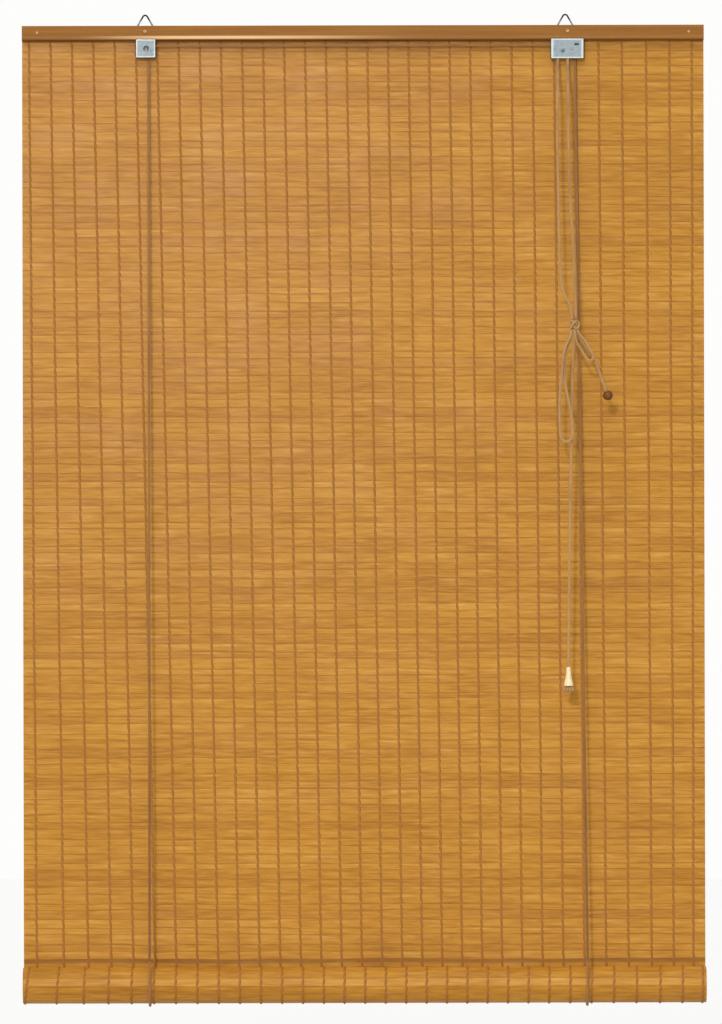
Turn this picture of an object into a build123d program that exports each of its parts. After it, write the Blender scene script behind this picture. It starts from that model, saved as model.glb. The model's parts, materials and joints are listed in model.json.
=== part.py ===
from build123d import *
from math import asin, cos, pi, sin, tan
import os

os.makedirs("parts", exist_ok=True)

# Bamboo roll up blind, hung by two wire loops, with its lower end rolled up in two slings of cord.
# X runs to the right along the rail, Y runs back to the wall and Z runs up.
# The origin is the middle of the line between the two hanging points.

# Slats of the mat
mat_width = 900.0
mat_shift = 10.0
slat_pitch = 10.72
slat_thick = 2.0
slat_waver = 0.16
slat_beat = 2.4
groove_width = 1.4
groove_depth = 0.55
hanging_slats = 118
rolled_slats = 29

# Warp threads that hold the slats together
thread_count = 32
thread_edge = 12.9
thread_width = 2.2
thread_thick = 0.6

# Head rails, one on each side of the mat
rail_height = 20.0
rail_drop = 11.2
rear_rail_thick = 8.0
front_rail_thick = 10.0
rail_round = 1.2
rail_low_round = 4.0
mat_inset = 0.5

# Rolled part of the mat
roll_radius = 24.2
running_gap = 0.3
batten_width = 14.0
batten_thick = 7.0

# Lift cord
cord_d = 3.4
cord_hole_depth = 12.0
right_sling_x = 303.3
arc_share = 0.45

# Wire loops that the blind hangs from
hanger_spacing = 555.0
wire_d = 2.2
nail_radius = 2.2
wire_splay = 30.0
wire_in_rail = 9.0

# Grooved wheels that turn the cords
wheel_turn_radius = 4.5
wheel_flange = 0.6
wheel_hub_step = 0.2
wheel_rim_thick = 0.45
pin_radius = 1.0
pin_play = 0.05
pin_head_radius = 1.9
pin_head_thick = 0.8
cross_drop = 6.5
left_wheel_x = -268.3
first_wheel_x = 263.2
second_wheel_x = 285.0

# Stamped steel housings below the rails
sheet = 1.0
housing_to_mat = 0.4
housing_lap = 2.4
lip_depth = 1.6
corner_round = 0.8
left_housing_width = 26.4
left_housing_x = -276.5
left_housing_drop = 22.4
right_housing_width = 44.3
right_housing_x = 279.9
right_housing_drop = 24.6
left_screw_x = -281.6
right_screw_x = 297.0
screw_radius = 1.2
screw_head_radius = 2.6
screw_head_thick = 1.6
screw_length = 12.0
slot_width = 0.7
slot_depth = 0.7
window_radius = 4.0
window_x = -275.7
window_drop = 10.2
slot_window_width = 6.0
slot_window_height = 3.0
slot_window_x = 292.2
slot_window_drop = 5.6

# Round head screws through both rails, one under each wire loop and beside the nearest thread
loop_screw_rise = 12.4
loop_screw_length = 18.0
left_loop_screw_shift = 0.2
right_loop_screw_shift = 2.9

# Toothed cam that locks the two pull cords
cam_drop = 14.0
cam_thick = 6.0
cam_half_width = 2.6
cam_hub_radius = 2.6
cam_teeth = 5
cam_tooth = 0.5
cam_pin_head = 2.6

# Nails that join the two rails
nail_head_radius = 1.7
nail_head_thick = 0.6
nail_shank_radius = 0.8
nail_length = 14.0
nail_edge = 20.0
nail_rise = 11.0

# Knot, pulls and loose cord ends in front of the mat
knot_x = 287.7
knot_y = -66.0
knot_top = -401.5
knot_height = 13.0
knot_radius = 7.2
knot_round = 0.6
bell_x = 278.7
bell_top = -857.9
bell_height = 24.5
bell_top_radius = 2.9
bell_waist_radius = 3.9
bell_foot_radius = 6.3
bell_rim = 2.0
bell_bore = 1.9
bell_recess = 3.4
bell_recess_radius = 5.1
tassel_length = 18.0
tassel_thick = 9.0
knob_radius = 6.5
knob_flat = 5.2
pull_straight = 12.8

# Levels and depths that follow from the sizes above
cord_r = cord_d / 2
rail_top = -rail_drop
rail_bottom = rail_top - rail_height
mat_left = mat_shift - mat_width / 2
mat_top = rail_top - mat_inset
mat_bottom = mat_top - hanging_slats * slat_pitch
rear_rail_front = -rear_rail_thick / 2
slat_rear = rear_rail_front - thread_thick
slat_front = slat_rear - slat_thick
thread_front = slat_front - thread_thick
rail_front = thread_front - front_rail_thick
thread_pitch = (mat_width - 2 * thread_edge) / (thread_count - 1)
thread_spots = [mat_left + thread_edge + thread_pitch * number for number in range(thread_count)]

# The roll is an open spiral of flat slats, so its outline is a polygon that shrinks by one layer a turn
first_half_step = asin(slat_pitch / 2 / roll_radius)
roll_reach = roll_radius + thread_thick / cos(first_half_step)
roll_y = thread_front - running_gap - roll_reach
roll_z = mat_bottom
layer = slat_thick + 2 * thread_thick + running_gap


def on_roll(radius, angle):
    """Point of the roll's end view, with the angle measured from the rear, down and round to the front."""
    return (roll_y + radius * cos(angle), roll_z - radius * sin(angle))


def roll_corners():
    """Radius, angle and half step of each slat corner, from the outer end of the roll to its core."""
    corners = []
    angle = 0.0
    for number in range(rolled_slats + 1):
        radius = roll_radius - layer * angle / (2 * pi)
        half_step = asin(slat_pitch / 2 / radius)
        corners.append((radius, angle, half_step))
        angle += 2 * half_step
    return corners


def toward(start, end, distance):
    """Point at a distance from the start on the way to the end."""
    span = Vector(*end) - Vector(*start)
    spot = Vector(*start) + span.normalized() * distance
    return (spot.X, spot.Y)


def save(piece, name):
    """Label a finished piece and write its file."""
    piece.part.label = name
    export_step(piece.part, f"parts/{name}.step")


# Places that the rails, cords and loops share
left_sling_x = left_wheel_x - wheel_turn_radius
left_pull_x = first_wheel_x + wheel_turn_radius
right_pull_x = second_wheel_x - wheel_turn_radius
right_lift_x = second_wheel_x + wheel_turn_radius
cam_x = (left_pull_x + right_pull_x) / 2
rear_leg_y = rear_rail_front + running_gap + cord_r
rail_mid = rail_top - rail_height / 2
hanger_spots = [-hanger_spacing / 2, hanger_spacing / 2]
loop_radius = nail_radius + wire_d / 2
leg_length = (rail_drop + wire_in_rail) / cos(wire_splay * pi / 180)

# Housing levels, shared by plates, wheels and cords
web_top = rail_bottom
cross_z = rail_bottom - cross_drop
axle_z = cross_z - wheel_turn_radius
plate_back = rail_front
plate_front = plate_back - sheet
rear_plate_back = thread_front - housing_to_mat
rear_plate_front = rear_plate_back - sheet
wheel_y = (plate_back + rear_plate_front) / 2
channel = rear_plate_front - plate_back
cam_z = rail_bottom - cam_drop


# Wire loops, each bent round its nail and driven into the rear rail with splayed legs
def hanger(spot):
    """Wire loop with its top bend round the hanging point."""
    splay = wire_splay * pi / 180
    side = loop_radius * cos(splay)
    shoulder = loop_radius * sin(splay)
    foot_side = side + leg_length * sin(splay)
    foot_level = shoulder - leg_length * cos(splay)
    with BuildPart() as loop:
        with BuildLine(Plane.XZ):
            left_leg = Line((spot - foot_side, foot_level), (spot - side, shoulder))
            RadiusArc((spot - side, shoulder), (spot + side, shoulder), loop_radius)
            Line((spot + side, shoulder), (spot + foot_side, foot_level))
        with BuildSketch(Plane(origin=left_leg @ 0, z_dir=left_leg % 0)):
            Circle(wire_d / 2)
        sweep()
    return loop


left_hanger = hanger(hanger_spots[0])
right_hanger = hanger(hanger_spots[1])


# Round head screws under the loops and up into the rail from the housings, and nails through the rails
def screw(seat, length):
    """Slotted round head screw, with its head on the front of the seat plane."""
    with BuildPart() as fastener:
        with BuildSketch(seat):
            Circle(screw_head_radius)
        extrude(amount=screw_head_thick)
        head_face = fastener.faces().sort_by(Axis(seat.origin, seat.z_dir))[-1]
        fillet(head_face.edges(), screw_head_thick / 2)
        with BuildSketch(seat.offset(screw_head_thick)):
            Rectangle(2 * screw_head_radius, slot_width)
        extrude(amount=-slot_depth, mode=Mode.SUBTRACT)
        with BuildSketch(seat):
            Circle(screw_radius)
        extrude(amount=-length)
    return fastener


def rail_seat(spot):
    """Plane on the front of the front rail, below a wire loop."""
    return Plane(origin=(spot, rail_front, rail_bottom + loop_screw_rise), z_dir=(0, -1, 0))


def web_seat(spot):
    """Plane on the lower side of a housing's web, facing down."""
    return Plane(origin=(spot, wheel_y, web_top - sheet), z_dir=(0, 0, -1))


left_loop_screw = screw(rail_seat(hanger_spots[0] + left_loop_screw_shift), loop_screw_length)
right_loop_screw = screw(rail_seat(hanger_spots[1] + right_loop_screw_shift), loop_screw_length)
left_screw = screw(web_seat(left_screw_x), screw_length)
right_screw = screw(web_seat(right_screw_x), screw_length)

nail_z = rail_bottom + nail_rise
nail_spots = [(mat_left + nail_edge, nail_z), (mat_left + mat_width - nail_edge, nail_z)]

with BuildPart() as rail_nails:
    with BuildSketch(Plane.XZ.offset(-rail_front)):
        with Locations(*nail_spots):
            Circle(nail_shank_radius)
    extrude(amount=-nail_length)
    with BuildSketch(Plane.XZ.offset(-rail_front)):
        with Locations(*nail_spots):
            Circle(nail_head_radius)
    extrude(amount=nail_head_thick)

rail_fasteners = [left_loop_screw.part, right_loop_screw.part, rail_nails.part]


# Rear rail, with a hole up into its bottom edge for the fixed end of each lift cord
with BuildPart() as rear_rail:
    with BuildSketch(Plane.YZ.offset(mat_left)):
        with Locations((0, rail_mid)):
            RectangleRounded(rear_rail_thick, rail_height, rail_round)
    extrude(amount=mat_width)
    with BuildSketch(Plane.XY.offset(rail_bottom)):
        with Locations((left_sling_x, rear_leg_y), (right_sling_x, rear_leg_y)):
            Circle(cord_r)
    extrude(amount=cord_hole_depth, mode=Mode.SUBTRACT)
    add([left_hanger.part, right_hanger.part], mode=Mode.SUBTRACT)
    add(rail_fasteners, mode=Mode.SUBTRACT)


# Front rail, with its lower front edge rounded the most
with BuildPart() as front_rail:
    with BuildSketch(Plane.YZ.offset(mat_left)) as rail_end:
        with Locations((thread_front - front_rail_thick / 2, rail_mid)):
            Rectangle(front_rail_thick, rail_height)
        front_corners = rail_end.vertices().group_by(Axis.X)[0]
        fillet(front_corners.sort_by(Axis.Y)[0], rail_low_round)
        fillet(rail_end.vertices().group_by(Axis.X)[0].sort_by(Axis.Y)[-1], rail_round)
    extrude(amount=mat_width)
    add([left_screw.part, right_screw.part], mode=Mode.SUBTRACT)
    add(rail_fasteners, mode=Mode.SUBTRACT)


# Hanging mat, one wall of slats with a groove between each two
def slat_edge(number):
    """Height of the joint between two slats, which are not all of one width."""
    return mat_top - slat_pitch * (number + slat_waver * sin(slat_beat * number))


front_side = [(slat_front, mat_top)]
rear_side = [(slat_rear, mat_top)]
for number in range(1, hanging_slats):
    edge = slat_edge(number)
    front_side.append((slat_front, edge + groove_width / 2))
    front_side.append((slat_front + groove_depth, edge))
    front_side.append((slat_front, edge - groove_width / 2))
    rear_side.append((slat_rear, edge + groove_width / 2))
    rear_side.append((slat_rear - groove_depth, edge))
    rear_side.append((slat_rear, edge - groove_width / 2))
front_side.append((slat_front, mat_bottom))
rear_side.append((slat_rear, mat_bottom))

with BuildPart() as mat:
    with BuildSketch(Plane.YZ.offset(mat_left)):
        with BuildLine():
            Polyline(*front_side, *reversed(rear_side), close=True)
        make_face()
    extrude(amount=mat_width)
    add(rail_fasteners, mode=Mode.SUBTRACT)


# Warp threads on both faces of the hanging mat
with BuildPart() as warp_threads:
    with Locations((mat_shift, (slat_front + slat_rear) / 2, (mat_top + mat_bottom) / 2)):
        with GridLocations(thread_pitch, slat_thick + thread_thick, thread_count, 2):
            Box(thread_width, thread_thick, mat_top - mat_bottom)
    add(rail_fasteners, mode=Mode.SUBTRACT)


# Rolled mat, one spiral wall with the same grooves on its outer face
corners = roll_corners()
outer_points = [on_roll(radius, angle) for radius, angle, half in corners]
inner_points = [on_roll(radius - slat_thick / cos(half), angle) for radius, angle, half in corners]
outer_chain = [outer_points[0]]
for number in range(1, rolled_slats):
    radius, angle, half = corners[number]
    outer_chain.append(toward(outer_points[number], outer_points[number - 1], groove_width / 2))
    outer_chain.append(on_roll(radius - groove_depth, angle))
    outer_chain.append(toward(outer_points[number], outer_points[number + 1], groove_width / 2))
outer_chain.append(outer_points[-1])

with BuildPart() as mat_roll:
    with BuildSketch(Plane.YZ.offset(mat_left)):
        with BuildLine():
            Polyline(*outer_chain, *reversed(inner_points), close=True)
        make_face()
    extrude(amount=mat_width)


# Threads round the outer turn of the roll
outer_turn = [corner for corner in corners if corner[1] < 2 * pi - 2 * corner[2]]
thread_inner = [on_roll(radius, angle) for radius, angle, half in outer_turn]
thread_outer = [on_roll(radius + thread_thick / cos(half), angle) for radius, angle, half in outer_turn]

with BuildPart() as roll_threads:
    with BuildSketch(*[Plane.YZ.offset(spot - thread_width / 2) for spot in thread_spots]):
        with BuildLine():
            Polyline(*thread_outer, *reversed(thread_inner), close=True)
        make_face()
    extrude(amount=thread_width)


# Wooden batten at the core, on the inner face of the last slat
last_start = Vector(*inner_points[-2])
last_end = Vector(*inner_points[-1])
along = (last_end - last_start).normalized()
core_side = Vector(roll_y, roll_z) - (last_start + last_end) / 2
inward = (core_side - along * core_side.dot(along)).normalized()
batten_start = last_start + along * running_gap
batten_middle = batten_start + along * (batten_width / 2) + inward * (batten_thick / 2)
batten_plane = Plane(
    origin=(mat_left, batten_middle.X, batten_middle.Y), x_dir=(0, along.X, along.Y), z_dir=(1, 0, 0)
)

with BuildPart() as bottom_batten:
    with BuildSketch(batten_plane):
        Rectangle(batten_width, batten_thick)
    extrude(amount=mat_width)


def housing(middle, width, drop, screw_spot, axles, cam_holes):
    """Folded sheet channel with side lips, a web below the rail and holes for its screw and pins."""
    top = web_top + housing_lap
    bottom = web_top - drop
    height = top - bottom
    with BuildPart() as shell:
        with BuildSketch(Plane.XZ.offset(-plate_back)):
            with Locations((middle, (top + bottom) / 2)):
                Rectangle(width, height)
        extrude(amount=sheet)
        with BuildSketch(Plane.XZ.offset(-plate_back)):
            for side in (-1, 1):
                with Locations((middle + side * (width - sheet) / 2, (web_top + bottom) / 2)):
                    Rectangle(sheet, web_top - bottom)
        extrude(amount=-lip_depth)
        front_edges = shell.faces().sort_by(Axis.Y)[0].edges()
        fillet(front_edges, corner_round)
        with BuildSketch(Plane.XY.offset(web_top)):
            with Locations((middle, (plate_back + rear_plate_back) / 2)):
                Rectangle(width, rear_plate_back - plate_back)
        extrude(amount=-sheet)
        with BuildSketch(Plane.XZ.offset(-rear_plate_back)):
            with Locations((middle, (web_top + bottom) / 2)):
                Rectangle(width, web_top - bottom)
        extrude(amount=sheet)
        rear_face = shell.faces().sort_by(Axis.Y)[-1]
        fillet(rear_face.edges().filter_by(Axis.X).sort_by(Axis.Z)[-1], corner_round)
        with BuildSketch(Plane.XZ.offset(-rear_plate_back)):
            with Locations(*[(spot, axle_z) for spot in axles]):
                Circle(pin_radius)
            if cam_holes:
                with Locations((cam_x, cam_z)):
                    Circle(pin_radius)
        extrude(amount=rear_plate_back - plate_front, mode=Mode.SUBTRACT)
        with BuildSketch(web_seat(screw_spot)):
            Circle(screw_radius)
        extrude(amount=-sheet, mode=Mode.SUBTRACT)
    return shell


left_shell = housing(
    left_housing_x, left_housing_width, left_housing_drop, left_screw_x, [left_wheel_x], False
)
with BuildPart() as left_housing:
    add(left_shell.part)
    with BuildSketch(Plane.XZ.offset(-plate_back)):
        with Locations((window_x, rail_bottom - window_drop)):
            Circle(window_radius)
    extrude(amount=sheet, mode=Mode.SUBTRACT)

right_axles = [first_wheel_x, second_wheel_x]
right_shell = housing(
    right_housing_x, right_housing_width, right_housing_drop, right_screw_x, right_axles, True
)
with BuildPart() as right_housing:
    add(right_shell.part)
    with BuildSketch(Plane.XZ.offset(-plate_back)):
        with Locations((slot_window_x, rail_bottom - slot_window_drop)):
            RectangleRounded(slot_window_width, slot_window_height, corner_round)
    extrude(amount=sheet, mode=Mode.SUBTRACT)


# Wheels, each turned with a round groove that clears the cord
groove_radius = cord_r + running_gap
wheel_flange_radius = wheel_turn_radius + wheel_flange
wheel_hub_radius = wheel_turn_radius - groove_radius - wheel_hub_step
rim_half = (groove_radius**2 - wheel_flange**2) ** 0.5
wheel_half = rim_half + wheel_rim_thick
hub_half = channel / 2 - running_gap


def wheel(spot):
    """Grooved wheel with a long hub, turned about the axis of its pin."""
    with BuildPart() as body:
        with BuildSketch(Plane.XY):
            with Locations((wheel_flange_radius / 2, 0)):
                Rectangle(wheel_flange_radius, 2 * wheel_half)
            with Locations((wheel_hub_radius / 2, 0)):
                Rectangle(wheel_hub_radius, 2 * hub_half)
            with Locations((wheel_turn_radius, 0)):
                Circle(groove_radius, mode=Mode.SUBTRACT)
            with Locations(((pin_radius + pin_play) / 2, 0)):
                Rectangle(pin_radius + pin_play, 3 * hub_half, mode=Mode.SUBTRACT)
        revolve(axis=Axis.Y)
    body.part.locate(Location((spot, wheel_y, axle_z)))
    return body


left_wheel = wheel(left_wheel_x)
first_wheel = wheel(first_wheel_x)
second_wheel = wheel(second_wheel_x)


def pin(spot, level, head_radius):
    """Riveted pin with a round head in front and a flush rear end."""
    with BuildPart() as rivet:
        with BuildSketch(Plane.XZ.offset(-rear_plate_back)):
            with Locations((spot, level)):
                Circle(pin_radius)
        extrude(amount=rear_plate_back - plate_front)
        with BuildSketch(Plane.XZ.offset(-plate_front)):
            with Locations((spot, level)):
                Circle(head_radius)
        extrude(amount=pin_head_thick)
        head_face = rivet.faces().sort_by(Axis.Y)[0]
        fillet(head_face.edges(), pin_head_thick / 2)
    return rivet


left_axle = pin(left_wheel_x, axle_z, pin_head_radius)
first_axle = pin(first_wheel_x, axle_z, pin_head_radius)
second_axle = pin(second_wheel_x, axle_z, pin_head_radius)
cam_pin = pin(cam_x, cam_z, cam_pin_head)


# Lock cam, a toothed oval that fills the way between the two pull cords
cam_reach = (right_pull_x - left_pull_x) / 2 - cord_r - running_gap

with BuildPart() as lock_cam:
    with BuildSketch(Plane.XZ):
        Ellipse(cam_reach, cam_half_width)
        tooth_step = 2 * cam_half_width / (cam_teeth + 1)
        for number in range(cam_teeth):
            tooth_level = tooth_step * (number + 1) - cam_half_width
            rim = cam_reach * (1 - (tooth_level / cam_half_width) ** 2) ** 0.5
            with Locations((rim, tooth_level), (-rim, tooth_level)):
                Circle(cam_tooth / 2, mode=Mode.SUBTRACT)
        Circle(cam_hub_radius)
        Circle(pin_radius + pin_play, mode=Mode.SUBTRACT)
    extrude(amount=cam_thick / 2, both=True)
lock_cam.part.locate(Location((cam_x, wheel_y, cam_z)))


# Lift cords. Each runs down behind the mat, under the roll as a sling and up in front to its wheel
sling_radius = roll_reach + running_gap + cord_r
sling_front_y = roll_y - sling_radius
sling_flat = rear_leg_y - sling_radius - roll_y
rear_leg_top = rail_bottom + cord_hole_depth


def rear_leg(spot):
    """Straight cord from its hole in the rear rail down behind the mat."""
    with BuildPart() as leg:
        with BuildSketch(Plane.XY.offset(roll_z)):
            with Locations((spot, rear_leg_y)):
                Circle(cord_r)
        extrude(amount=rear_leg_top - roll_z)
    return leg


def sling(spot):
    """Bight of cord that carries the roll."""
    with BuildPart() as bight:
        with BuildLine(Plane.YZ.offset(spot)) as path:
            CenterArc((roll_y, roll_z), sling_radius, 180, 90)
            Line((roll_y, roll_z - sling_radius), (roll_y + sling_flat, roll_z - sling_radius))
            CenterArc((roll_y + sling_flat, roll_z), sling_radius, 270, 90)
        with BuildSketch(Plane.XY.offset(roll_z)):
            with Locations((spot, sling_front_y)):
                Circle(cord_r)
        sweep(path=path.line)
    return bight


def front_leg(foot, head):
    """Slanting cord from the sling up to its wheel, with level ends."""
    rise = Vector(head - foot, wheel_y - sling_front_y, axle_z - roll_z)
    with BuildPart() as leg:
        with BuildSketch(Plane.XY.offset(roll_z)):
            with Locations((foot, sling_front_y)):
                Circle(cord_r)
        extrude(amount=rise.length, dir=rise.normalized())
    return leg


left_rear_leg = rear_leg(left_sling_x)
right_rear_leg = rear_leg(right_sling_x)
left_sling = sling(left_sling_x)
right_sling = sling(right_sling_x)
left_front_leg = front_leg(left_sling_x, left_sling_x)
right_front_leg = front_leg(right_sling_x, right_lift_x)

with BuildPart() as cross_cord:
    with BuildLine(Plane.XZ.offset(-wheel_y)) as cross_path:
        CenterArc((left_wheel_x, axle_z), wheel_turn_radius, 180, -90)
        Line((left_wheel_x, cross_z), (first_wheel_x, cross_z))
        CenterArc((first_wheel_x, axle_z), wheel_turn_radius, 90, -90)
    with BuildSketch(Plane.XY.offset(axle_z)):
        with Locations((left_sling_x, wheel_y)):
            Circle(cord_r)
    sweep(path=cross_path.line)

with BuildPart() as turn_cord:
    with BuildLine(Plane.XZ.offset(-wheel_y)) as turn_path:
        CenterArc((second_wheel_x, axle_z), wheel_turn_radius, 180, -180)
    with BuildSketch(Plane.XY.offset(axle_z)):
        with Locations((right_pull_x, wheel_y)):
            Circle(cord_r)
    sweep(path=turn_path.line)


# Free cords, as straight runs joined by arcs that take a set share of the shorter run
def free_cord(name, points):
    """Cord along a route, with its radii and length printed."""
    spots = [Vector(*point) for point in points]
    radii = []
    for before, here, after in zip(spots, spots[1:], spots[2:]):
        turn = (here - before).get_angle(after - here) * pi / 180
        shorter = min((here - before).length, (after - here).length)
        radii.append(arc_share * shorter / tan(turn / 2))
    with BuildPart() as tube:
        with BuildLine():
            route = FilletPolyline(*spots, radius=radii)
        with BuildSketch(Plane(origin=route @ 0, z_dir=route % 0)):
            Circle(cord_r)
        sweep()
    ratio = tube.part.volume / (pi * cord_r**2 * route.length)
    listed = ", ".join(f"{radius:.1f}" for radius in radii)
    print(f"{name}: length {route.length:.1f}, volume ratio {ratio:.4f}, radii {listed}")
    return tube


knot_foot = knot_top - knot_height
housing_clear = axle_z - pull_straight
left_pull = free_cord("left_pull_cord", [
    (left_pull_x, wheel_y, axle_z),
    (left_pull_x, wheel_y, housing_clear),
    (267.2, -33.0, -75.0),
    (266.3, -56.0, -103.0),
    (265.2, -66.0, -145.0),
    (265.6, -67.0, -195.0),
    (268.0, -67.2, -290.0),
    (268.6, -67.0, -340.0),
    (272.5, -66.5, -366.0),
    (knot_x - 3.6, knot_y, -386.0),
    (knot_x - 3.6, knot_y, knot_top),
])
right_pull = free_cord("right_pull_cord", [
    (right_pull_x, wheel_y, axle_z),
    (right_pull_x, wheel_y, housing_clear),
    (280.3, -33.0, -75.0),
    (279.9, -56.0, -103.0),
    (279.8, -66.0, -145.0),
    (280.4, -67.0, -195.0),
    (282.6, -67.0, -250.0),
    (285.9, -66.6, -305.0),
    (knot_x + 1.6, knot_y, -370.0),
    (knot_x + 1.6, knot_y, knot_top),
])

with BuildPart() as cord_knot:
    with BuildSketch(Plane.XY.offset(knot_foot)):
        with Locations((knot_x, knot_y)):
            Circle(knot_radius)
    extrude(amount=knot_height)
    fillet(cord_knot.edges().filter_by(GeomType.CIRCLE), knot_round)

# Bow on the left, a long loop that hangs down and comes back up behind its own start
left_bow = free_cord("left_bow", [
    (knot_x - 3.9, knot_y - 2.2, knot_foot),
    (knot_x - 3.9, knot_y - 2.2, -422.0),
    (274.2, -69.5, -438.0),
    (271.6, -69.7, -464.0),
    (267.9, -69.8, -496.0),
    (267.4, -70.0, -526.0),
    (268.4, -70.3, -556.4),
    (273.2, -70.5, -561.4),
    (280.2, -70.5, -561.4),
    (285.0, -70.4, -556.2),
    (284.0, -69.8, -530.0),
    (279.0, -68.0, -506.0),
    (274.6, -65.6, -484.0),
    (274.0, -64.3, -460.0),
    (278.4, -63.9, -436.0),
    (knot_x - 4.4, knot_y + 1.9, -423.0),
    (knot_x - 4.4, knot_y + 1.9, knot_foot),
])

# Bow on the right, a short loop folded close
right_bow = free_cord("right_bow", [
    (knot_x + 3.9, knot_y - 2.2, knot_foot),
    (knot_x + 3.9, knot_y - 2.2, -419.0),
    (300.0, -69.2, -426.5),
    (306.5, -69.4, -439.0),
    (312.5, -69.5, -448.5),
    (311.0, -69.7, -455.5),
    (303.8, -70.0, -454.6),
    (296.5, -70.3, -441.5),
    (knot_x, knot_y - 4.3, -427.0),
    (knot_x, knot_y - 4.3, knot_foot),
])

knob_route = [
    (knot_x + 4.0, knot_y + 2.0, knot_foot),
    (knot_x + 4.0, knot_y + 2.0, -421.5),
    (300.5, -63.3, -434.0),
    (310.5, -63.1, -449.0),
    (318.2, -63.3, -464.0),
    (323.4, -63.8, -481.0),
    (329.3, -64.4, -496.0),
]
knob_cord = free_cord("knob_cord", knob_route)

bell_cord = free_cord("bell_cord", [
    (knot_x - 0.3, knot_y + 0.1, knot_foot),
    (knot_x - 0.3, knot_y + 0.1, -426.0),
    (285.8, -65.3, -446.0),
    (284.6, -65.0, -480.0),
    (283.4, -65.2, -560.0),
    (281.2, -65.6, -655.0),
    (279.8, -65.9, -770.0),
    (bell_x, knot_y, bell_top + 16.0),
    (bell_x, knot_y, bell_top - bell_height + bell_recess),
])


# Bell shaped pull, a cone with a bore for its cord and a shallow mouth
bell_foot = bell_top - bell_height
bell_plane = Plane(origin=(bell_x, knot_y, bell_foot), x_dir=(1, 0, 0), z_dir=(0, -1, 0))

with BuildPart() as bell:
    with BuildSketch(bell_plane):
        with BuildLine():
            Line((0, 0), (bell_foot_radius, 0))
            Line((bell_foot_radius, 0), (bell_foot_radius, bell_rim))
            Spline(
                (bell_foot_radius, bell_rim),
                (bell_waist_radius, bell_height / 2),
                (bell_top_radius, bell_height),
            )
            Line((bell_top_radius, bell_height), (0, bell_height))
            Line((0, bell_height), (0, 0))
        make_face()
    revolve(axis=Axis((bell_x, knot_y, bell_foot), (0, 0, 1)))
    with BuildSketch(Plane.XY.offset(bell_foot)):
        with Locations((bell_x, knot_y)):
            Circle(bell_recess_radius)
    extrude(amount=bell_recess, mode=Mode.SUBTRACT)
    with BuildSketch(Plane.XY.offset(bell_foot)):
        with Locations((bell_x, knot_y)):
            Circle(bell_bore)
    extrude(amount=bell_height, mode=Mode.SUBTRACT)

# Knotted cord end that carries the bell
tassel_top = bell_foot + bell_recess
tassel_level = bell_foot - tassel_thick / 2

with BuildPart() as bell_knot:
    with BuildSketch(Plane.XZ.offset(-knot_y)):
        with Locations((bell_x, tassel_level)):
            SlotOverall(tassel_length, tassel_thick)
        with Locations((bell_x, tassel_level - tassel_thick / 2)):
            Rectangle(2 * tassel_length, tassel_thick, mode=Mode.SUBTRACT)
    revolve(axis=Axis((bell_x, knot_y, tassel_level), (1, 0, 0)))
    with BuildSketch(Plane.XY.offset(tassel_top)):
        with Locations((bell_x, knot_y)):
            Circle(cord_r + running_gap)
    extrude(amount=tassel_level - tassel_top)

# Turned knob at the other cord end, flat where the cord goes in
knob_end = Vector(*knob_route[-1])
knob_way = (knob_end - Vector(*knob_route[-2])).normalized()
knob_plane = Plane(origin=knob_end + knob_way * knob_flat, z_dir=-knob_way)

with BuildPart() as knob:
    with BuildSketch(Plane.XZ):
        Circle(knob_radius)
        with Locations((-knob_radius, 0)):
            Rectangle(2 * knob_radius, 2 * knob_radius, mode=Mode.SUBTRACT)
        with Locations((knob_radius, knob_flat + knob_radius)):
            Rectangle(2 * knob_radius, 2 * knob_radius, mode=Mode.SUBTRACT)
    revolve(axis=Axis.Z)
knob.part.locate(knob_plane.location)

save(rear_rail, "rear_rail")
save(front_rail, "front_rail")
save(rail_nails, "rail_nails")
save(mat, "mat")
save(warp_threads, "warp_threads")
save(mat_roll, "mat_roll")
save(roll_threads, "roll_threads")
save(bottom_batten, "bottom_batten")
save(left_hanger, "left_hanger")
save(right_hanger, "right_hanger")
save(left_housing, "left_housing")
save(right_housing, "right_housing")
save(left_loop_screw, "left_loop_screw")
save(right_loop_screw, "right_loop_screw")
save(left_screw, "left_screw")
save(right_screw, "right_screw")
save(left_wheel, "left_wheel")
save(first_wheel, "first_wheel")
save(second_wheel, "second_wheel")
save(left_axle, "left_axle")
save(first_axle, "first_axle")
save(second_axle, "second_axle")
save(lock_cam, "lock_cam")
save(cam_pin, "cam_pin")
save(left_rear_leg, "left_rear_leg")
save(right_rear_leg, "right_rear_leg")
save(left_sling, "left_sling")
save(right_sling, "right_sling")
save(left_front_leg, "left_front_leg")
save(right_front_leg, "right_front_leg")
save(cross_cord, "cross_cord")
save(turn_cord, "turn_cord")
save(left_pull, "left_pull_cord")
save(right_pull, "right_pull_cord")
save(cord_knot, "cord_knot")
save(left_bow, "left_bow")
save(right_bow, "right_bow")
save(knob_cord, "knob_cord")
save(bell_cord, "bell_cord")
save(bell, "bell")
save(bell_knot, "bell_knot")
save(knob, "knob")
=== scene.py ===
"""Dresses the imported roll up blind: bamboo slats, threads, braided cords, finishes, camera and stage."""

import json
import math
import random

import bmesh
import bpy
from bpy.props import FloatProperty, FloatVectorProperty, IntProperty, PointerProperty
from mathutils import Matrix, Vector


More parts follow.
